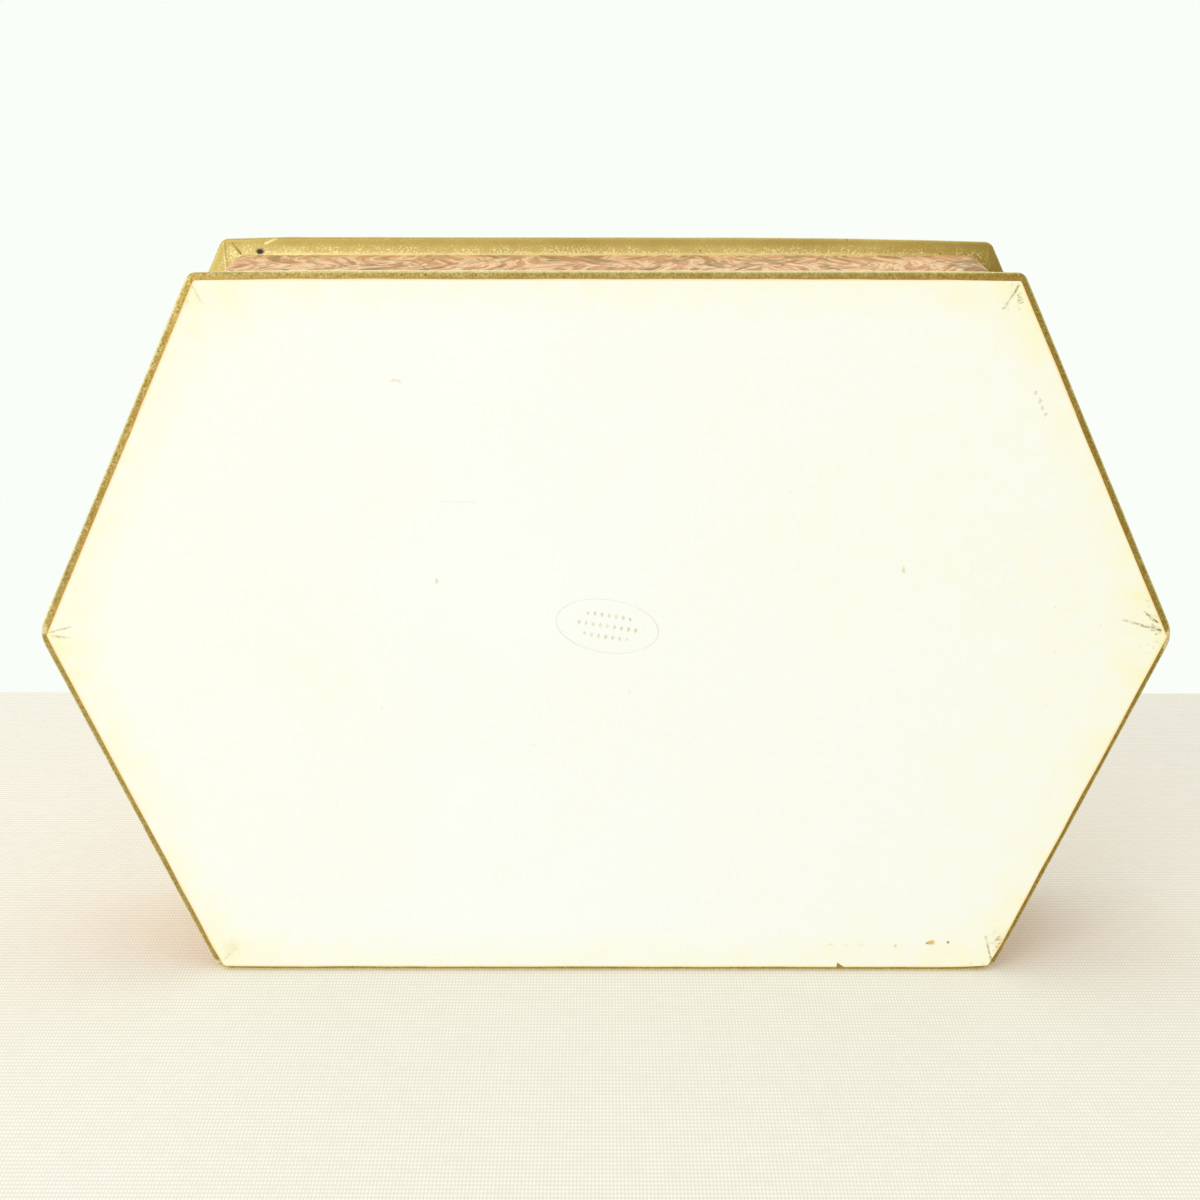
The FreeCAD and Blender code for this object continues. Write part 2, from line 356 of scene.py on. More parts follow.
def fold_line(add, place, start, end, strength, width):
    """Strength at the start of a line on the base, less towards its end, and 0 beside it."""
    start, end = (Vector((*spot, 0)) * MM for spot in (start, end))
    run = end - start
    flat = add("VectorMath MULTIPLY", place, PLAN)
    away = add("VectorMath SUBTRACT", flat, start)
    share = add("VectorMath DOT_PRODUCT", away, run / run.length_squared)
    inside = add("MapRange", share)
    foot = add("VectorMath SCALE", run, inside)
    gap = add("VectorMath DISTANCE", away, foot)
    thin = add("MapRange", inside, 0, 1, strength, strength * 0.4)
    beside = add("MapRange", gap, width * 0.25 * MM, width * MM, 1, 0)
    return add("Math MULTIPLY", thin, beside)


def blot(add, place, middle, half, strength):
    """Strength inside an oval on the base, fading to 0 at its edge."""
    away = add("VectorMath SUBTRACT", place, Vector((*middle, 0)) * MM)
    shape = Vector((1 / half[0], 1 / half[1], 0)) / MM
    unit = add("VectorMath MULTIPLY", away, shape)
    size = add("VectorMath LENGTH", unit)
    return add("MapRange", size, 0.5, 1.1, strength, 0)


def strongest(add, masks):
    """Greatest of several masks."""
    top = masks[0]
    for mask in masks[1:]:
        top = add("Math MAXIMUM", top, mask)
    return top


def edge_gap(add, place, sizes):
    """Distance in from the box's outline, and distance from its nearest corner, in metres."""
    slope = math.hypot(sizes.half_depth, sizes.tip_reach)
    out = Vector((sizes.half_depth, sizes.tip_reach, 0)) / slope
    flat = add("VectorMath MULTIPLY", place, PLAN)
    quarter = add("VectorMath ABSOLUTE", flat)
    slant = add("VectorMath DOT_PRODUCT", quarter, out)
    deep = add("VectorMath DOT_PRODUCT", quarter, (0, 1, 0))
    to_slant = add("Math SUBTRACT", sizes.half_width * out.x, slant)
    to_side = add("Math SUBTRACT", sizes.half_depth, deep)
    edge = add("Math MINIMUM", to_slant, to_side)
    tip = (sizes.half_width, 0, 0)
    corner = (sizes.half_width - sizes.tip_reach, sizes.half_depth, 0)
    gaps = [add("VectorMath DISTANCE", quarter, spot) for spot in (tip, corner)]
    return edge, add("Math MINIMUM", *gaps)


def sheet_gap(add, place, sizes):
    """The same for the cream sheet, which sits a little off the middle, and its margin on the base."""
    laid = add("VectorMath SUBTRACT", place, SHEET_PLACE)
    shrunk = (1, 1 / (1 + sizes.damp_growth / sizes.half_depth), 1)
    laid = add("VectorMath MULTIPLY", laid, shrunk)
    return *edge_gap(add, laid, sizes), sizes.half_depth - (SHEET_HIGH.y - SHEET_LOW.y) / 2


def cream_wove_paper(sizes, colours):
    """Uncoated wove paper, aged: almost white, straw at its edges, with folds, foxing and faded print."""
    made, add, shader, place = started("cream_wove_paper")
    edge, corner, margin = sheet_gap(add, place, sizes)
    ragged = wandering(add, place, 1.4, 1.6)
    cloud = add("TexNoise", Vector=place, Scale=per_mm(55), Detail=4)
    mottle = add("TexNoise", Vector=place, Scale=per_mm(7), Detail=5)
    pulp = add("TexNoise", Vector=place, Scale=per_mm(0.5), Detail=3)
    # Light has reached the rim of the sheet and its two ends most.
    rim = add("MapRange", edge, margin, 14 * MM, 0.62, 0)
    drift = add("MapRange", cloud, 0.45, 0.75, 0, 0.22)
    far = add("SeparateXYZ", place)
    right = add("MapRange", far, 0.02, -0.15, 0, 0.4)
    handled = add("MapRange", corner, 3 * MM, 26 * MM, 0.5, 0)
    left = add("MapRange", far, 0.04, 0.14, 0, 0.25)
    aged = rim
    for part in (drift, right, handled, left):
        aged = add("Math ADD", aged, part)
    aged = add("Math MULTIPLY", aged, mottle, use_clamp=True)
    colour = add("Mix RGBA", aged, colours.cream, colours.straw)
    # Foxing is drawn at 0.8 mm, as coarse as it needs to show.
    specks = add("TexVoronoi", Vector=ragged, Scale=per_mm(7))
    fox = add("MapRange", specks, 0.03, 0.09, 0.2, 0)
    rare = add("MapRange", cloud, 0.5, 0.6, 0, 1)
    fox = add("Math MULTIPLY", fox, rare)
    soak = strongest(add, [fox] + [blot(add, ragged, *spot) for spot in YELLOW_BLOTS])
    uneven = add("TexNoise", Vector=place, Scale=per_mm(2.4), Detail=4)
    uneven = add("MapRange", uneven, 0.38, 0.6, 0.2, 1.15)
    soak = add("Math MULTIPLY", soak, uneven, use_clamp=True)
    wavy = wandering(add, place, 2.5, 0.8)
    lines = strongest(add, [fold_line(add, wavy, *fold, FOLD_WIDTH) for fold in FOLD_MARKS])
    crumbs = add("TexNoise", Vector=place, Scale=per_mm(1.3), Detail=4, Roughness=0.7)
    broken = add("MapRange", crumbs, 0.4, 0.6, 0.15, 0.95)
    lines = add("Math MULTIPLY", lines, broken)
    scratch = strongest(add, [fold_line(add, ragged, *mark, SCRATCH_WIDTH) for mark in SCRATCHES])
    scratch = add("Math MULTIPLY", scratch, broken)
    ground = strongest(add, [blot(add, place, *spot) for spot in SCUFFS])
    grit = add("TexNoise", Vector=wavy, Scale=per_mm(1.6), Detail=5, Roughness=0.7)
    grit = add("MapRange", grit, 0.56, 0.74, 0, 1)
    ground = add("Math MULTIPLY", ground, grit)
    dirt = strongest(add, [scratch, ground] + [blot(add, ragged, *spot) for spot in BROWN_SPOTS])
    rub = add("MapRange", edge, margin + 0.05 * MM, margin + 0.6 * MM, 0.85, 0)
    faded = add("MapRange", mottle, 0.35, 0.65, 0.3, 0.85)
    ink = add("Math MULTIPLY", oval_mark(add, place), faded)
    for mask, paint in ((soak, colours.stain), (lines, colours.fold_dirt), (dirt, colours.grime),
                        (rub, colours.honey), (ink, colours.print_line)):
        colour = add("Mix RGBA", mask, colour, paint)
    bump = add("Bump", Height=pulp, Strength=0.12, Distance=0.05 * MM)
    feed(shader, {"Base Color": colour, "Normal": bump, "Roughness": 0.82, "Specular IOR Level": 0.25})
    return made


def oval_mark(add, place):
    """Ink of the oval mark: a ring of 0.3 mm line round three rows of plain lozenges, 1 by 1.7 mm."""
    turned = add("Mapping", place, OVAL_PLACE, (0, 0, OVAL_TURN), vector_type="TEXTURE")
    shape = Vector((1 / OVAL_HALF[0], 1 / OVAL_HALF[1], 0)) / MM
    oval = add("VectorMath MULTIPLY", turned, shape)
    reach = add("VectorMath LENGTH", oval)
    ring = add("Math COMPARE", reach, 1, 0.014)
    ring = add("Math MULTIPLY", ring, 0.6)
    spot = add("SeparateXYZ", turned)
    across = add("Math PINGPONG", spot.outputs[0], 1 * MM)
    upright = add("Math PINGPONG", spot.outputs[1], 1.55 * MM)
    across = add("Math DIVIDE", across, 0.5 * MM)
    upright = add("Math DIVIDE", upright, 0.85 * MM)
    lozenge = add("Math ADD", across, upright)
    lozenge = add("Math LESS_THAN", lozenge, 1)
    inner = add("Math LESS_THAN", reach, 0.6)
    lozenge = add("Math MULTIPLY", lozenge, inner)
    return add("Math MAXIMUM", ring, lozenge)


def gold_foil_paper(sizes, colours):
    """Paper coated with bronze powder and embossed with a fine grain: satin gold, pale where rubbed."""
    made, add, shader, place = started("gold_foil_paper")
    edge, corner = edge_gap(add, place, sizes)
    spot = add("SeparateXYZ", place)
    height = spot.outputs[2]
    under_lid = add("Math COMPARE", height, LID_LOW.z, 0.4 * MM)
    grain = add("TexNoise", Vector=place, Scale=per_mm(0.55), Detail=2, Roughness=0.5)
    tone = add("TexNoise", Vector=place, Scale=per_mm(14), Detail=4)
    # The lid's paper is smooth, and the base's shows its grain.
    low = add("Math LESS_THAN", height, BASE_HIGH.z + 1 * MM)
    coarse = add("MapRange", low, 0, 1, 0.7, 3.4)
    deep = add("Math SUBTRACT", grain, 0.47)
    deep = add("Math MULTIPLY_ADD", deep, coarse, 0.5, use_clamp=True)
    light = add("MapRange", tone, 0.3, 0.7, 0.45, 1)
    amount = add("Math MULTIPLY", deep, light)
    colour = add("Mix RGBA", amount, colours.dark_gold, colours.gold)
    # Handling has darkened the outer 3 mm and the foot that slides on a table. The right-hand end is
    # darker, partly tarnish and partly painted shade where less light reaches it, and one side of the base
    # has painted shade.
    foot = add("MapRange", height, 0.5 * MM, 1.4 * MM, 0.56, 0)
    hand = add("MapRange", edge, 1.6 * MM, 3.4 * MM, 0.28, 0)
    lip = add("MapRange", edge, 0.1 * MM, 0.4 * MM, -1, 0)
    kept = add("Math MULTIPLY_ADD", lip, low, 1)
    hand = add("Math MULTIPLY", hand, kept)
    right = add("MapRange", spot, -0.06, -0.12, 0, 0.5)
    foot = add("Math MAXIMUM", foot, right)
    foot = add("Math MULTIPLY_ADD", right, 0.4, foot)
    ragged = wandering(add, place, 1.4, 1.2)
    stain = add("Math MULTIPLY", blot(add, ragged, *LID_STAIN), under_lid)
    # Painted shade on one side of the base, in the tarnish colour.
    painted_side_shade = add("Math MULTIPLY", blot(add, ragged, *BASE_SIDE_SHADE), low)
    soil_and_shade = strongest(add, [foot, hand, stain, painted_side_shade])
    patchy = add("MapRange", deep, 0, 1, 1, 0.7)
    soil_and_shade = add("Math MULTIPLY", soil_and_shade, patchy)
    colour = add("Mix RGBA", soil_and_shade, colour, colours.tarnish)
    # Painted highlights: glints of the bronze powder, strongest under the lid beside the wall and fading at
    # the right-hand end.
    glint = add("TexNoise", Vector=place, Scale=per_mm(0.65), Detail=1)
    glint = add("MapRange", glint, 0.47, 0.67, 0, 1)
    drift = add("TexNoise", Vector=place, Scale=per_mm(3.5), Detail=3)
    drift = add("MapRange", drift, 0.38, 0.58, 0.2, 1.3)
    glint = add("Math MULTIPLY", glint, drift)
    # Painted light bounced off the wall: the lid's underside is brighter, and glints more, towards the
    # wall.
    inner = add("MapRange", edge, 1.8 * MM, 4.6 * MM, 0, 1)
    painted_highlight_reach = add("MapRange", right, 0, 0.5, 1, 0.2)
    painted_highlight_reach = add("Math MULTIPLY", painted_highlight_reach, under_lid)
    inner = add("Math MULTIPLY", inner, painted_highlight_reach)
    # Painted highlight along the base's rim, and a painted bright line under the lid where it meets the
    # wall.
    painted_edge_highlight = add("MapRange", edge, 0.2 * MM, 0.6 * MM, 0.5, 0)
    painted_edge_highlight = add("Math MULTIPLY", painted_edge_highlight, low)
    painted_joint_highlight = add("MapRange", edge, 4 * MM, 4.8 * MM, 0, 0.62)
    open_side = add("MapRange", corner, 9 * MM, 18 * MM, 0.1, 1)
    painted_joint_highlight = add("Math MULTIPLY", painted_joint_highlight, open_side)
    painted_edge_highlight = add("Math MULTIPLY_ADD", painted_joint_highlight, painted_highlight_reach, painted_edge_highlight)
    # glow is the painted light of the rim, the joint and the lid's underside beside the wall.
    glow = add("Math MULTIPLY_ADD", inner, 0.2, painted_edge_highlight)
    crisp = add("MapRange", low, 0, 1, 0.08, 0.24)
    crisp = add("Math MULTIPLY_ADD", inner, 1.1, crisp)
    glint = add("Math MULTIPLY_ADD", glint, crisp, glow, use_clamp=True)
    colour = add("Mix RGBA", glint, colour, colours.glint)
    colour = add("Mix RGBA", right, colour, colours.amber, blend_type="MULTIPLY")
    gap, _, margin = sheet_gap(add, place, sizes)
    beside = add("MapRange", gap, margin - 1.1 * MM, margin, 0, 0.48)
    under_base = add("Math LESS_THAN", height, BASE_LOW.z + 1 * MM)
    beside = add("Math MULTIPLY", beside, under_base)
    # Painted highlight along the lid's crease, and painted shade along the fold of its corner.
    painted_crease_highlight, fold, scorch = (add("Math MULTIPLY", mark, under_lid) for mark in (
        fold_line(add, place, *LID_CREASE_HIGHLIGHT), fold_line(add, place, *LID_FOLD_SHADE), blot(add, ragged, *SCORCH)))
    near = add("MapRange", corner, 1 * MM, 14 * MM, 0.75, 0.1)
    rubbed = add("MapRange", edge, 0.1 * MM, 0.7 * MM, 0.8, 0.25)
    chance = add("Math MULTIPLY", near, rubbed)
    chance = strongest(add, [chance] + [blot(add, place, *tip) for tip in WORN_TIPS])
    fray = add("TexNoise", Vector=place, Scale=per_mm(2.2), Detail=6, Roughness=0.7)
    bare = add("Math ADD", chance, fray)
    bare = add("MapRange", bare, 0.85, 1.1, 0, 0.85)
    fleck = add("TexVoronoi", Vector=place, Scale=per_mm(4.5))
    fleck = add("MapRange", fleck, 0.06, 0.12, 0.6, 0)
    some = add("MapRange", tone, 0.5, 0.56, 0, 1)
    fleck = add("Math MULTIPLY", fleck, some)
    for mask, paint in ((beside, colours.rust), (painted_crease_highlight, colours.glint), (fold, colours.tarnish),
                        (bare, colours.worn_gold), (fleck, colours.grime), (scorch, colours.scorch)):
        colour = add("Mix RGBA", mask, colour, paint)
    dull = strongest(add, [bare, scorch])
    metal = add("MapRange", dull, 0, 0.85, 0.85, 0.15)
    sheen = add("MapRange", grain, 0.3, 0.7, 0.52, 0.38)
    relief = add("MapRange", low, 0, 1, 0.1, 0.35)
    bump = add("Bump", Height=grain, Strength=relief, Distance=0.12 * MM)
    feed(shader, {"Base Color": colour, "Metallic": metal, "Roughness": sheen, "Normal": bump})
    return made


def combed(add, spot, lean):
    """Places drawn out up the paper and leaning by turns left and right, as a comb leaves wet colour."""
    comb = add("Math PINGPONG", spot.outputs[1], 15 * MM)
    across = add("Math MULTIPLY_ADD", comb, lean, spot.outputs[0])
    upright = add("Math MULTIPLY", spot.outputs[1], 0.24)
    return add("CombineXYZ", across, upright)


def waxed_marbled_paper(sizes, colours):
    """Hand-marbled paper, combed and waxed: pink, blush and salmon feathers crossed by thin olive veins."""
    made, add, shader, place = started("waxed_marbled_paper")
    paper = add("UVMap", uv_map="paper")
    spot = add("SeparateXYZ", wandering(add, paper, 26, 22))
    stroke = add("TexNoise", Vector=combed(add, spot, 0.5), Scale=per_mm(5.5), Detail=4, Roughness=0.58,
                 Distortion=0.15)
    colour = add("ValToRGB", stroke, stops=(
        (0.3, colours.vein), (0.4, colours.salmon), (0.46, colours.pink), (0.5, colours.blush),
        (0.54, colours.pink), (0.59, colours.salmon), (0.66, colours.pink), (0.74, colours.blush)))
    vein = add("TexNoise", Vector=combed(add, spot, -0.6), Scale=per_mm(12), Detail=3, Roughness=0.55,
               Distortion=0.2)
    vein = add("Math SUBTRACT", vein, 0.5)
    vein = add("Math ABSOLUTE", vein)
    vein = add("MapRange", vein, 0.006, 0.028, 0.9, 0)
    patch = add("TexNoise", Vector=paper, Scale=per_mm(17), Detail=3)
    patch = add("MapRange", patch, 0.4, 0.56, 0.1, 1)
    vein = add("Math MULTIPLY", vein, patch)
    # Painted light: the paper is paler towards the rim, lifting the shade under the lid's overhang, and it
    # is darker salmon lower down. The rim is bare paper where the lid comes down on it.
    height = add("SeparateXYZ", place)
    fall = add("Math SUBTRACT", height.outputs[2], WRAP_HIGH.z)
    fall = add("Math ABSOLUTE", fall)
    faded = add("MapRange", fall, 8 * MM, 40 * MM, 0.25, 0)
    darker_low = add("MapRange", fall, 22 * MM, 55 * MM, 0, 0.25)
    rim = add("MapRange", fall, 0.3 * MM, 1.6 * MM, 0.8, 0)
    scuff = add("TexNoise", Vector=place, Scale=per_mm(1.8), Detail=5, Roughness=0.7)
    scuff = add("MapRange", scuff, 0.42, 0.6, 0.2, 1)
    rim = add("Math MULTIPLY", rim, scuff)
    for mask, paint in ((vein, colours.vein), (faded, colours.blush), (darker_low, colours.salmon),
                        (rim, colours.cream)):
        colour = add("Mix RGBA", mask, colour, paint)
    tooth = add("TexNoise", Vector=place, Scale=per_mm(0.4), Detail=3)
    bump = add("Bump", Height=tooth, Strength=0.15, Distance=0.06 * MM)
    gloss = add("MapRange", stroke, 0.3, 0.7, 0.55, 0.45)
    feed(shader, {"Base Color": colour, "Roughness": gloss, "Normal": bump, "Specular IOR Level": 0.15})
    return made


def glazed_lining_paper(sizes, colours):
    """Machine-glazed white paper, yellowed with age: matte, with faint fibres and a few brown specks."""
    made, add, shader, place = started("glazed_lining_paper")
    cloud = add("TexNoise", Vector=place, Scale=per_mm(40), Detail=5)
    fibre = add("TexNoise", Vector=place, Scale=per_mm(0.6), Detail=3)
    aged = add("MapRange", cloud, 0.35, 0.75, 0, 0.6)
    colour = add("Mix RGBA", aged, colours.lining, colours.straw)
    specks = add("TexVoronoi", Vector=wandering(add, place, 1.4, 1.6), Scale=per_mm(11))
    fox = add("MapRange", specks, 0.03, 0.08, 0.4, 0)
    colour = add("Mix RGBA", fox, colour, colours.grime)
    bump = add("Bump", Height=fibre, Strength=0.15, Distance=0.05 * MM)
    feed(shader, {"Base Color": colour, "Normal": bump, "Roughness": 0.78})
    return made


def pressed_greyboard(sizes, colours):
    """Board pressed from waste paper: grey-brown and matte, flecked with fibres."""
    made, add, shader, place = started("pressed_greyboard")
    fleck = add("TexNoise", Vector=place, Scale=per_mm(1.2), Detail=6, Roughness=0.7)
    shade = add("MapRange", fleck, 0.35, 0.65, 0, 0.55)
    colour = add("Mix RGBA", shade, colours.board, colours.grime)
    bump = add("Bump", Height=fleck, Strength=0.3, Distance=0.1 * MM)
    feed(shader, {"Base Color": colour, "Normal": bump, "Roughness": 0.92})
    return made


def kraft_tape(sizes, colours):
    """Gummed kraft paper: brown and matte, streaked by its fibres."""
    made, add, shader, place = started("kraft_tape")
    laid = add("Mapping", place, Scale=(1, 1, 0.2))
    streak = add("TexNoise", Vector=laid, Scale=per_mm(0.8), Detail=5)
    shade = add("MapRange", streak, 0.35, 0.65, 0, 0.5)
    colour = add("Mix RGBA", shade, colours.kraft, colours.grime)
    bump = add("Bump", Height=streak, Strength=0.2, Distance=0.08 * MM)
    feed(shader, {"Base Color": colour, "Normal": bump, "Roughness": 0.85})
    return made


def hinge_linen(sizes, colours):
    """Plain-woven book linen, starched: off-white threads 0.9 mm apart, as coarse as they need to show."""
    made, add, shader, place = started("hinge_linen")
    cloth = add("UVMap", uv_map="paper")
    threads = [add("TexWave", Vector=cloth, Scale=WEAVE, bands_direction=direction) for direction in "XY"]
    weave = add("Math MULTIPLY", *threads)
    slub = add("TexNoise", Vector=place, Scale=per_mm(5), Detail=4)
    shade = add("Math MULTIPLY", weave, slub)
    shade = add("MapRange", shade, 0, 0.24, 0.15, 1)
    colour = add("Mix RGBA", shade, colours.thread_gap, colours.linen)
    bump = add("Bump", Height=weave, Strength=0.5, Distance=0.1 * MM)
    feed(shader, {"Base Color": colour, "Normal": bump, "Roughness": 0.85, "Sheen Weight": 0.15})
    return made


def finish_of(context, maker):
    """A finish by its maker, made once for all the pieces that share it."""
    made = bpy.data.materials.get(maker.__name__)
    return made or maker(context.scene.box_sizes, context.scene.box_colours)


def corner_points(sizes, inset):
    """Six corners of the box's outline, drawn in by inset, from the right tip round by the rear."""
    slope = math.hypot(sizes.half_depth, sizes.tip_reach)
    across, along = sizes.half_depth / slope, sizes.tip_reach / slope
    reach, deep = sizes.half_width * across - inset, sizes.half_depth - inset
    tip, corner = reach / across, (reach - along * deep) / across
    return [(tip, 0), (corner, deep), (-corner, deep), (-tip, 0), (-corner, -deep), (corner, -deep)]


def outline_face(bm, sizes, inset, corner_radius, tip_radius, height, steps=6, shift=(0, 0)):
    """One flat face of the box's outline, drawn in by inset, with its corners rounded."""
    before = set(bm.faces)
    verts = [bmesh.ops.create_vert(bm, co=(x + shift[0], y + shift[1], height))["vert"][0]
             for x, y in corner_points(sizes, inset)]
    bmesh.ops.contextual_create(bm, geom=verts)
    half_turn = math.atan2(sizes.tip_reach, sizes.half_depth)
    tips, others = [verts[0], verts[3]], verts[1:3] + verts[4:]
    for group, radius, turn in ((tips, tip_radius, half_turn),
                                (others, corner_radius, math.pi / 4 - half_turn / 2)):
        bmesh.ops.bevel(bm, geom=group, offset=radius * math.tan(turn), offset_type="OFFSET",
                        segments=steps, profile=0.5, affect="VERTICES", material=-1)
    return next(face for face in bm.faces if face not in before)


def raised(bm, face, rise):
    """Extrudes a face straight up and returns the face at the far end."""
    out = bmesh.ops.extrude_face_region(bm, geom=[face])["geom"]
    top = next(part for part in out if isinstance(part, bmesh.types.BMFace))
    bmesh.ops.translate(bm, verts=top.verts[:], vec=(0, 0, rise))
    return top


def divide_long_edges(bm, longer_than):
    """Cuts long edges into short runs, so that a paper's edge can waver."""
    edges = [edge for edge in bm.edges if edge.calc_length() > longer_than]
    bmesh.ops.subdivide_edges(bm, edges=edges, cuts=EDGE_CUTS, use_grid_fill=True)


def waver(verts, amount, size, axes):
    """Moves points by a smooth noise, as hand-pasted paper does."""
    for vert in verts:
        push = noise.noise_vector(vert.co / size) * amount
        vert.co += Vector((push.x * axes[0], push.y * axes[1], push.z * axes[2]))


def bump_corners(verts, bumps):
    """Pushes in the corners that were bumped."""
    for vert in verts:
        for corner, reach, push in bumps:
            near = 1 - (vert.co.xy / MM - Vector(corner)).length / reach
            if near > 0:
                vert.co.xy += Vector(push) * MM * near ** 2


def finished(name, bm, material, body=None, nodes=()):
    """Makes the object of a mesh, and sets what it rides on and stands for."""
    mesh = bpy.data.meshes.new(name)
    bm.to_mesh(mesh)
    bm.free()
    mesh.shade_smooth()
    mesh.set_sharp_from_angle(angle=SHARP_FROM)
    mesh.materials.append(material)
    made = bpy.data.objects.new(name, mesh)
    bpy.context.scene.collection.objects.link(made)
    if body:
        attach(made, body)
    if nodes:
        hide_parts(*nodes)
    return made


class BOX_OT_boards(bpy.types.Operator):
    """Gives the boards, stays and linings their finishes"""

    bl_idname = "chocolate_box.boards"
    bl_label = "Boards and linings"

    def execute(self, context):
        slots = {"greyboard": pressed_greyboard, "kraft_paper": kraft_tape,
                 "lining_paper": glazed_lining_paper}
        for part in frame["record"]["subparts"]:
            if part["material_slot"] in slots:
                material = finish_of(context, slots[part["material_slot"]])
                for place in frame["nodes"][part["node"]].material_slots:
                    place.material = material
        return {"FINISHED"}


class BOX_OT_plate_cores(bpy.types.Operator):
    """Cuts the boards of the base and the lid, with their bumped corners"""

    bl_idname = "chocolate_box.plate_cores"
    bl_label = "Base and lid boards"

    def execute(self, context):
        sizes = context.scene.box_sizes
        inset, skin = 2 * sizes.paper, 1.5 * sizes.paper
        material = finish_of(context, pressed_greyboard)
        for plate, body, low, high, bumps in PLATES:
            bm = bmesh.new()
            face = outline_face(bm, sizes, inset, sizes.corner_radius - inset, sizes.tip_radius - inset,
                                low + skin)
            divide_long_edges(bm, LONG_EDGE)
            raised(bm, face, high - low - 2 * skin)
            bump_corners(bm.verts, bumps)
            bmesh.ops.recalc_face_normals(bm, faces=bm.faces[:])
            finished(f"{plate}_core", bm, material, body, [f"{plate}_board"])
        return {"FINISHED"}


class BOX_OT_base_sheet(bpy.types.Operator):
    """Pastes the cream sheet under the base"""

    bl_idname = "chocolate_box.base_sheet"
    bl_label = "Cream base sheet"

    def execute(self, context):
        sizes = context.scene.box_sizes
        low, high = SHEET_LOW, SHEET_HIGH
        shift = (low + high) / 2
        margin = sizes.half_depth - (high.y - low.y) / 2
        bm = bmesh.new()
        outline_face(bm, sizes, margin, sizes.cut_radius, sizes.cut_radius, low.z, shift=shift.xy)
        grown = (1, 1 + sizes.damp_growth / sizes.half_depth, 1)
        bmesh.ops.scale(bm, verts=bm.verts[:], vec=grown, space=Matrix.Translation(-shift))
        for axis, normal in ((0, (1, 0, 0)), (1, (0, 1, 0))):
            steps = math.ceil((high[axis] - low[axis]) / SHEET_CELL)
            for step in range(1, steps):
                spot = Vector((0, 0, 0))
                spot[axis] = low[axis] + (high[axis] - low[axis]) * step / steps
                self.cut(bm, bm.faces[:], spot, normal)
        rim = [vert for vert in bm.verts if vert.is_boundary]
        waver(rim, *SHEET_WAVER, (1, 1, 0))
        bump_corners(bm.verts, BASE_BUMPS)
        self.tear_chip(bm)
        for start, end, strength in FOLD_MARKS:
            self.press_fold(bm, Vector((*start, 0)) * MM, Vector((*end, 0)) * MM, strength * FOLD_DEPTH)
        for part in bmesh.ops.extrude_face_region(bm, geom=bm.faces[:])["geom"]:
            if isinstance(part, bmesh.types.BMVert):
                part.co.z = high.z
        bmesh.ops.recalc_face_normals(bm, faces=bm.faces[:])
        material = finish_of(context, cream_wove_paper)
        finished("base_sheet", bm, material, "tray", ["base_paper"])
        return {"FINISHED"}

    def cut(self, bm, faces, spot, normal):
        """Cuts faces along a plane."""
        parts = set(faces)
        for face in faces:
            parts.update(face.edges)
            parts.update(face.verts)
        bmesh.ops.bisect_plane(bm, geom=list(parts), plane_co=spot, plane_no=normal, dist=ON_CUT)

    def near(self, bm, spot, reach):
        """Faces whose middle is near a spot."""
        return [face for face in bm.faces if (face.calc_center_median() - spot).length < reach]

    def press_fold(self, bm, start, end, depth):
        """Presses a shallow groove along a line."""
        run = (end - start).normalized()
        side = Vector((-run.y, run.x, 0))
        middle, reach = (start + end) / 2, (end - start).length / 2
        aside = side * FOLD_HALF
        for spot, normal in ((start, side), (start - aside, side), (start + aside, side), (start, run),
                             (end, run)):
            self.cut(bm, self.near(bm, middle, reach + FOLD_ROOM), spot, normal)
        for vert in bm.verts:
            away = vert.co - start
            along = 0 < away.dot(run) < (end - start).length
            if along and abs(away.dot(side)) < CLOSE and not vert.is_boundary:
                vert.co.z += depth

    def tear_chip(self, bm):
        """Tears a small chip out of the front edge."""
        corners = [Vector((*corner, 0)) * MM for corner in CHIP]
        middle = sum(corners, Vector()) / 3
        for start, end in zip(corners, corners[1:]):
            run = end - start
            self.cut(bm, self.near(bm, middle, CHIP_ROOM), start, Vector((-run.y, run.x, 0)).normalized())
        inside = []
        for face in self.near(bm, middle, CHIP_ROOM):
            spot = face.calc_center_median()
            turns = [(end - start).cross(spot - start).z
                     for start, end in zip(corners, corners[1:] + corners[:1])]
            if all(turn > 0 for turn in turns) or all(turn < 0 for turn in turns):
                inside.append(face)
        bmesh.ops.delete(bm, geom=inside, context="FACES")


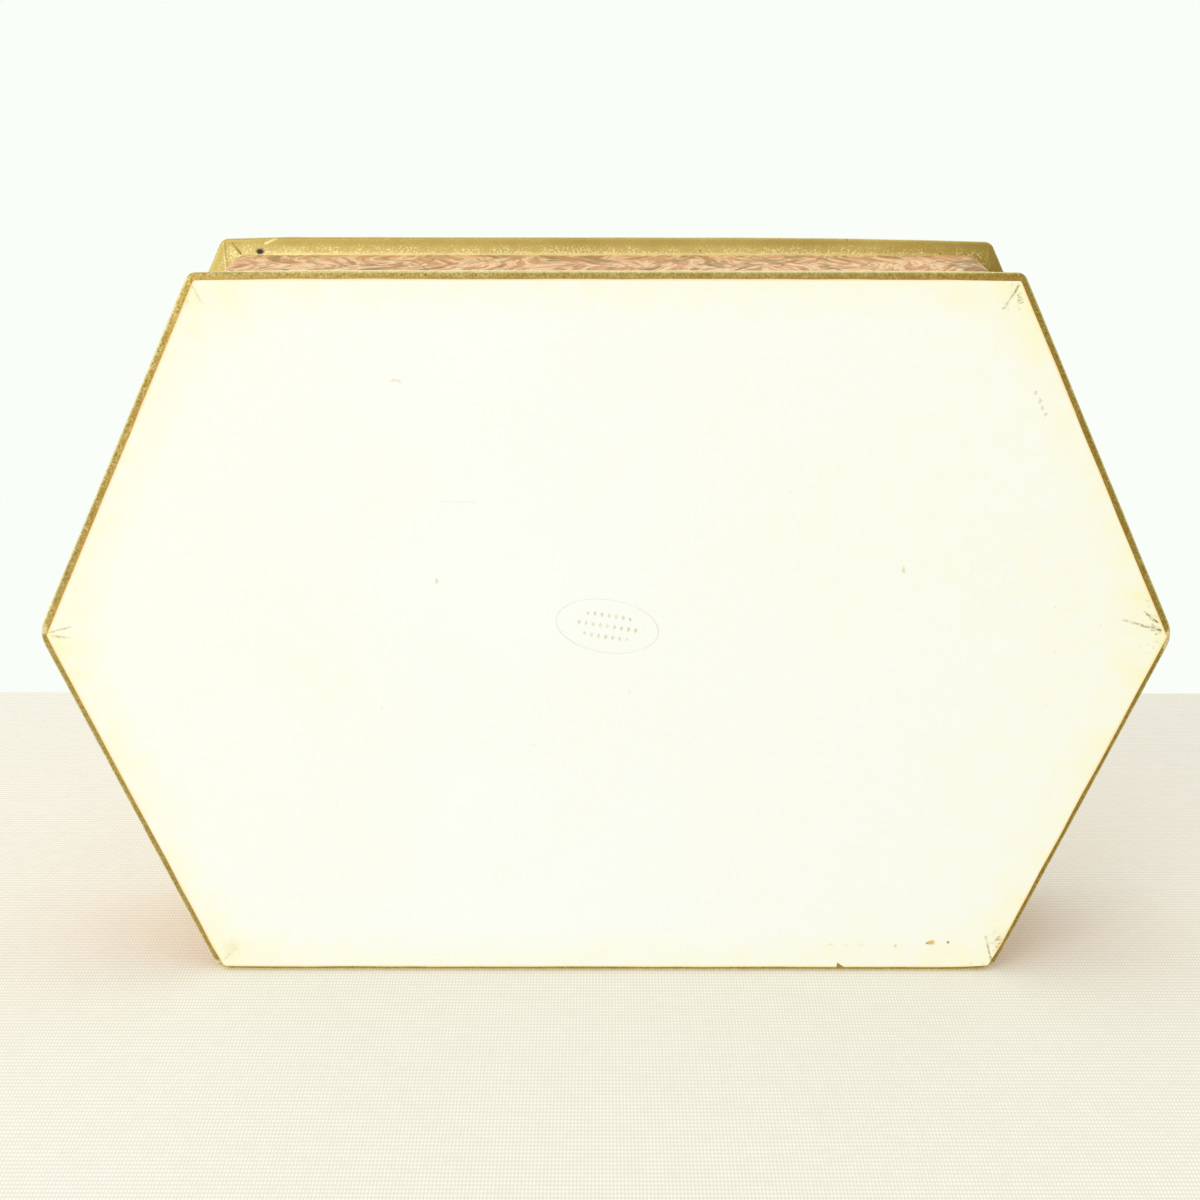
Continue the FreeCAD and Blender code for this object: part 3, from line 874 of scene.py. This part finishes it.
class BOX_OT_gold_bindings(bpy.types.Operator):
    """Binds the edges of the base and the lid in gold paper"""

    bl_idname = "chocolate_box.gold_bindings"
    bl_label = "Gold bindings"

    def execute(self, context):
        sizes = context.scene.box_sizes
        material = finish_of(context, gold_foil_paper)
        turn_ins = (sizes.base_turn_in, sizes.lid_turn_in)
        for (plate, body, low, high, bumps), turn_in in zip(PLATES, turn_ins):
            bm = self.folded_round(sizes, low, high, turn_in)
            bump_corners(bm.verts, bumps)
            finished(f"{plate}_binding", bm, material, body, [f"{plate}_edging"])
        return {"FINISHED"}

    def folded_round(self, sizes, low, high, turn_in):
        """Gold paper folded round a board's edge, with its corners pleated."""
        bm = bmesh.new()
        under = outline_face(bm, sizes, SPARE, sizes.corner_radius, sizes.tip_radius, low)
        over = raised(bm, under, high - low)
        fold = 1 * MM
        inner = [outline_face(bm, sizes, turn_in, fold, fold, height) for height in (low, high)]
        loops = [list(a.edges) + list(b.edges) for a, b in zip((under, over), inner)]
        outer = list(under.edges) + list(over.edges)
        bmesh.ops.delete(bm, geom=[under, over, *inner], context="FACES_ONLY")
        for loop in loops:
            bmesh.ops.bridge_loops(bm, edges=loop)
        bmesh.ops.bevel(bm, geom=outer, offset=sizes.edge_rounding, offset_type="OFFSET", segments=3,
                        profile=0.5, affect="EDGES", material=-1)
        middle = (low + high) / 2
        for corner, end in zip(corner_points(sizes, 0), corner_points(sizes, turn_in)):
            run = (Vector(end) - Vector(corner)).normalized()
            for vert in bm.verts:
                away = vert.co.xy - Vector(corner)
                if abs(away.x * run.y - away.y * run.x) < PLEAT_HALF and 0 < away.dot(run) < PLEAT_REACH:
                    if abs(vert.co.z - middle) > (high - low) / 2 - 0.1 * MM:
                        vert.co.z += math.copysign(sizes.fold_height, vert.co.z - middle)
        divide_long_edges(bm, LONG_EDGE)
        waver(bm.verts, *BINDING_WAVER, (1, 1, 0.3))
        bmesh.ops.recalc_face_normals(bm, faces=bm.faces[:])
        bmesh.ops.solidify(bm, geom=bm.faces[:], thickness=sizes.paper)
        return bm


class BOX_OT_wall_wrap(bpy.types.Operator):
    """Wraps the walls in marbled paper, lapped on the rear wall"""

    bl_idname = "chocolate_box.wall_wrap"
    bl_label = "Marbled wall wrap"

    def execute(self, context):
        sizes = context.scene.box_sizes
        low, rim = WRAP_LOW.z, WRAP_HIGH.z
        inset = sizes.half_depth - WRAP_HIGH.y
        bm = bmesh.new()
        along, rise = (bm.verts.layers.float.new(name) for name in ("along", "rise"))
        paper = bm.loops.layers.uv.new("paper")
        floor = outline_face(bm, sizes, inset, sizes.wall_radius, sizes.wall_radius, low, steps=8)
        rear = max(floor.edges, key=lambda edge: sum(vert.co.y for vert in edge.verts))
        first = rear.verts[0]
        share = (SEAM - first.co.x) / (rear.verts[1].co.x - first.co.x)
        bmesh.ops.bisect_edges(bm, edges=[rear], cuts=1, edge_percents={rear: share})
        loop = [part.vert for part in floor.loops]
        end = Vector((SEAM, WRAP_HIGH.y, low))
        start = min(range(len(loop)), key=lambda index: (loop[index].co - end).length)
        loop = loop[start:] + loop[:start]
        if loop[1].co.x < loop[0].co.x:
            loop = loop[:1] + loop[:0:-1]
        length = 0
        for vert, after in zip(loop, loop[1:] + loop[:1]):
            vert[along], vert[rise] = length, low
            length += (after.co - vert.co).length
        roof = raised(bm, floor, rim - low)
        for vert in roof.verts:
            vert[rise] = rim
        bmesh.ops.inset_region(bm, faces=[roof], thickness=sizes.wall_build, use_even_offset=True)
        for vert in roof.verts:
            vert[rise] = rim + sizes.wall_build
        well = raised(bm, roof, -sizes.rim_turn_in)
        for vert in well.verts:
            vert[rise] = rim + sizes.wall_build + sizes.rim_turn_in
        bmesh.ops.delete(bm, geom=[floor, roof, well], context="FACES_ONLY")
        for face in bm.faces:
            far = max(part.vert[along] for part in face.loops) > length / 2
            for part in face.loops:
                lap = length if far and part.vert[along] == 0 else 0
                part[paper].uv = (part.vert[along] + lap, part.vert[rise])
        edges = [edge for edge in bm.edges if all(abs(vert.co.z - rim) < CLOSE for vert in edge.verts)
                 and edge.calc_face_angle(0) > 1]
        bmesh.ops.bevel(bm, geom=edges, offset=RIM_ROUNDING, offset_type="OFFSET", segments=3, profile=0.5,
                        affect="EDGES", material=-1)
        divide_long_edges(bm, LONG_WRAP_EDGE)
        waver(bm.verts, *WRAP_WAVER, (1, 1, 0))
        bmesh.ops.recalc_face_normals(bm, faces=bm.faces[:])
        bmesh.ops.solidify(bm, geom=bm.faces[:], thickness=sizes.paper)
        self.add_lap(bm, sizes, paper, length)
        material = finish_of(context, waxed_marbled_paper)
        finished("wall_paper", bm, material, "tray", ["wall_wrap"])
        return {"FINISHED"}

    def add_lap(self, bm, sizes, paper, length):
        """Lays the paper's upper end over its lower end, with a slanting cut edge."""
        low, rim, wall = WRAP_LOW.z, WRAP_HIGH.z - 0.5 * MM, WRAP_HIGH.y
        cut = SEAM + LAP_CUT
        over = cut - sizes.lap_width
        sunk, thin = wall - 0.1 * MM, wall + 0.02 * MM
        before = set(bm.faces)
        spots = ((cut, sunk), (cut, wall + sizes.paper), (over, wall + sizes.paper),
                 (over - LAP_TAPER, thin), (over - LAP_TAPER, sunk))
        verts = [bmesh.ops.create_vert(bm, co=(x, y, low))["vert"][0] for x, y in spots]
        base = bmesh.ops.contextual_create(bm, geom=verts)["faces"][0]
        top = raised(bm, base, rim - low)
        for vert in top.verts:
            if abs(vert.co.x - cut) < CLOSE:
                vert.co.x -= LAP_SLANT
        lap = [face for face in bm.faces if face not in before]
        bmesh.ops.recalc_face_normals(bm, faces=lap)
        for face in lap:
            for part in face.loops:
                part[paper].uv = (length - part.vert.co.x + SEAM, part.vert.co.z)


class BOX_OT_lid_panel(bpy.types.Operator):
    """Pastes the marbled panel on top of the lid"""

    bl_idname = "chocolate_box.lid_panel"
    bl_label = "Marbled lid panel"

    def execute(self, context):
        sizes = context.scene.box_sizes
        low, high = PANEL_LOW, PANEL_HIGH
        margin = sizes.half_depth - (high.y - low.y) / 2
        bm = bmesh.new()
        paper = bm.loops.layers.uv.new("paper")
        face = outline_face(bm, sizes, margin, sizes.corner_radius, sizes.tip_radius, low.z)
        divide_long_edges(bm, LONG_EDGE)
        waver(bm.verts, *PANEL_WAVER, (1, 1, 0))
        bump_corners(bm.verts, LID_BUMPS)
        raised(bm, face, high.z - low.z)
        bmesh.ops.recalc_face_normals(bm, faces=bm.faces[:])
        for face in bm.faces:
            for part in face.loops:
                part[paper].uv = part.vert.co.xy + PANEL_PLACE
        material = finish_of(context, waxed_marbled_paper)
        finished("lid_panel", bm, material, "lid", ["lid_paper"])
        return {"FINISHED"}


class BOX_OT_hinge_strip(bpy.types.Operator):
    """Joins the lid to the rear wall with a strip of linen"""

    bl_idname = "chocolate_box.hinge_strip"
    bl_label = "Linen hinge strip"

    def execute(self, context):
        sizes = context.scene.box_sizes
        wall, roof, half = WALL_LEAF_HIGH.y, LID_LEAF_HIGH.z, LID_LEAF_HIGH.x
        start = Vector((wall, WALL_LEAF_HIGH.z - sizes.slack))
        finish = Vector((LID_LEAF_HIGH.y - sizes.slack, roof))
        path = [Vector((wall, WALL_LEAF_LOW.z)), start]
        for step in range(1, HINGE_STEPS):
            turn = math.pi / 2 * step / HINGE_STEPS
            path.append(Vector((finish.x + (wall - finish.x) * math.cos(turn) ** HINGE_FULLNESS,
                                start.y + (roof - start.y) * math.sin(turn) ** HINGE_FULLNESS)))
        path += [finish, Vector((LID_LEAF_LOW.y, roof))]
        bm = bmesh.new()
        run = bm.verts.layers.float.new("run")
        paper = bm.loops.layers.uv.new("paper")
        ends = [bmesh.ops.create_vert(bm, co=(x, *path[0]))["vert"][0] for x in (-half, half)]
        edge = bmesh.ops.contextual_create(bm, geom=ends)["edges"][0]
        length = 0
        for spot, after in zip(path, path[1:]):
            length += (after - spot).length
            out = bmesh.ops.extrude_edge_only(bm, edges=[edge])["geom"]
            edge = next(part for part in out if isinstance(part, bmesh.types.BMEdge))
            for vert in edge.verts:
                vert.co.yz = after
                vert[run] = length
        for face in bm.faces:
            for part in face.loops:
                part[paper].uv = (part.vert.co.x, part.vert[run])
        bm.normal_update()
        bmesh.ops.solidify(bm, geom=bm.faces[:], thickness=sizes.paper)
        strip = finished("hinge_strip", bm, finish_of(context, hinge_linen),
                         nodes=["hinge_wall_leaf", "hinge_lid_leaf"])
        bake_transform(strip)
        return {"FINISHED"}


class BOX_OT_stage(bpy.types.Operator):
    """Sets the camera, the light, the table and the floor"""

    bl_idname = "chocolate_box.stage"
    bl_label = "Stage"

    def execute(self, context):
        stage = context.scene.box_stage
        context.scene.view_settings.view_transform = "Standard"
        lens = bpy.data.cameras.new("camera")
        lens.lens, lens.sensor_width = stage.lens, SENSOR_WIDTH
        camera = bpy.data.objects.new("camera", lens)
        context.scene.collection.objects.link(camera)
        camera.location = stage.camera_place
        back = (Vector(stage.camera_place) - Vector(stage.camera_aim)).normalized()
        side = CAMERA_UP.cross(back).normalized()
        camera.rotation_euler = Matrix((side, back.cross(side), back)).transposed().to_euler()
        context.scene.camera = camera
        lamp = bpy.data.lights.new("key", "AREA")
        lamp.energy, lamp.size = stage.key_power, KEY_SIZE
        key = bpy.data.objects.new("key", lamp)
        context.scene.collection.objects.link(key)
        key.location = stage.key_place
        key.rotation_euler = (-Vector(stage.key_place)).to_track_quat("-Z", "Y").to_euler()
        self.surround(context, stage)
        self.table(context, stage)
        self.ground(context, stage)
        return {"FINISHED"}

    def plane(self, context, name, material, low, high):
        """A flat stage piece between two corners that only the camera sees."""
        bm = bmesh.new()
        bmesh.ops.create_grid(bm, x_segments=1, y_segments=1, size=0.5)
        size = high - low
        if size.y == 0:
            bmesh.ops.rotate(bm, verts=bm.verts[:], matrix=Matrix.Rotation(-math.pi / 2, 3, "X"))
        bmesh.ops.scale(bm, verts=bm.verts[:], vec=[part or 1 for part in size])
        bmesh.ops.translate(bm, verts=bm.verts[:], vec=(low + high) / 2)
        mesh = bpy.data.meshes.new(name)
        bm.to_mesh(mesh)
        bm.free()
        mesh.materials.append(material)
        made = bpy.data.objects.new(name, mesh)
        context.scene.collection.objects.link(made)
        for sight in ("diffuse", "glossy", "transmission", "volume_scatter", "shadow"):
            setattr(made, f"visible_{sight}", False)

    def surround(self, context, stage):
        """Soft white light from all round, dimmer low in front and stronger overhead."""
        world = bpy.data.worlds.new("surround")
        context.scene.world = world
        world.use_nodes = True
        add = partial(node, world.node_tree)
        around = add("TexCoord").outputs["Generated"]
        front = add("VectorMath DOT_PRODUCT", around, LOW_FRONT)
        dim = add("MapRange", front, 0.7, 0.97, 0.95, 0.42)
        above = add("VectorMath DOT_PRODUCT", around, OVERHEAD)
        glow = add("MapRange", above, 0.3, 1, 0, 0.4)
        level = add("Math ADD", dim, glow)
        window = add("SeparateXYZ", around)
        window = add("MapRange", window, -1, 1, -0.2, 0.16)
        level = add("Math ADD", level, window)
        sight = add("LightPath").outputs["Is Camera Ray"]
        seen = add("Mix RGBA", sight, level, stage.backdrop)
        feed(world.node_tree.nodes["Background"], {"Color": seen})

    def table(self, context, stage):
        """Pale woven surface under the box's lower edge, hidden by the floor when seen from above."""
        made, add, shader, place = started("pale_table")
        warp = add("TexWave", Vector=place, Scale=WEAVE, bands_direction="X")
        # The threads along the table are drawn 2 mm apart, as coarse as they need to show.
        weft = add("TexWave", Vector=place, Scale=WEAVE * 0.45, bands_direction="Z")
        weave = add("Math MULTIPLY", warp, weft)
        slub = add("TexNoise", Vector=place, Scale=per_mm(4), Detail=5, Roughness=0.7)
        weave = add("Math MULTIPLY", weave, slub)
        shade = add("MapRange", weave, 0, 0.4, 0.36, 0)
        colour = add("Mix RGBA", shade, stage.surface, stage.surface_shade)
        feed(shader, {"Base Color": colour, "Roughness": 0.9})
        depth = add("SeparateXYZ", place)
        near = add("Math LESS_THAN", depth.outputs[2], FLOOR_LEVEL)
        passed = add("LightPath").outputs["Transparent Depth"]
        passed = add("Math GREATER_THAN", passed, 0.5)
        shown = add("Math MAXIMUM", near, passed)
        clear = add("BsdfTransparent")
        both = add("MixShader", shown, clear, shader)
        feed(made.node_tree.nodes["Material Output"], {"Surface": both})
        level = -context.scene.box_sizes.half_depth - 0.1 * MM
        self.plane(context, "table", made, Vector((-TABLE_HALF, level, TABLE_NEAR)),
                   Vector((TABLE_HALF, level, TABLE_FAR)))

    def ground(self, context, stage):
        """Plain pale floor under the box, clear when seen from below."""
        made, add, shader, place = started("pale_floor")
        cloud = add("TexNoise", Vector=place, Scale=per_mm(300), Detail=2)
        shade = add("MapRange", cloud, 0.3, 0.7, 0, 0.06)
        colour = add("Mix RGBA", shade, stage.floor, stage.surface)
        feed(shader, {"Base Color": colour, "Roughness": 0.9})
        behind = add("NewGeometry").outputs["Backfacing"]
        clear = add("BsdfTransparent")
        both = add("MixShader", behind, shader, clear)
        feed(made.node_tree.nodes["Material Output"], {"Surface": both})
        far = Vector((FLOOR_HALF, FLOOR_HALF, 0))
        lift = Vector((0, 0, FLOOR_LEVEL))
        self.plane(context, "floor", made, lift - far, lift + far)


OPERATORS = (BOX_OT_boards, BOX_OT_plate_cores, BOX_OT_base_sheet, BOX_OT_gold_bindings, BOX_OT_wall_wrap,
             BOX_OT_lid_panel, BOX_OT_hinge_strip, BOX_OT_stage)


class BOX_PT_panel(bpy.types.Panel):
    """Lists the box's pieces"""

    bl_idname = "BOX_PT_panel"
    bl_label = "Chocolate Box"
    bl_space_type = "VIEW_3D"
    bl_region_type = "UI"
    bl_category = "Chocolate Box"

    def draw(self, context):
        for operator in OPERATORS:
            self.layout.operator(operator.bl_idname)


CLASSES = (BoxSizes, BoxColours, StageSettings, *OPERATORS, BOX_PT_panel)


def register():
    for part in CLASSES:
        bpy.utils.register_class(part)
    bpy.types.Scene.box_sizes = PointerProperty(type=BoxSizes)
    bpy.types.Scene.box_colours = PointerProperty(type=BoxColours)
    bpy.types.Scene.box_stage = PointerProperty(type=StageSettings)


def unregister():
    del bpy.types.Scene.box_stage, bpy.types.Scene.box_colours, bpy.types.Scene.box_sizes
    for part in reversed(CLASSES):
        bpy.utils.unregister_class(part)


def main():
    register()
    for operator in OPERATORS:
        getattr(bpy.ops.chocolate_box, operator.bl_idname.partition(".")[2])()


if __name__ == "__main__":
    main()
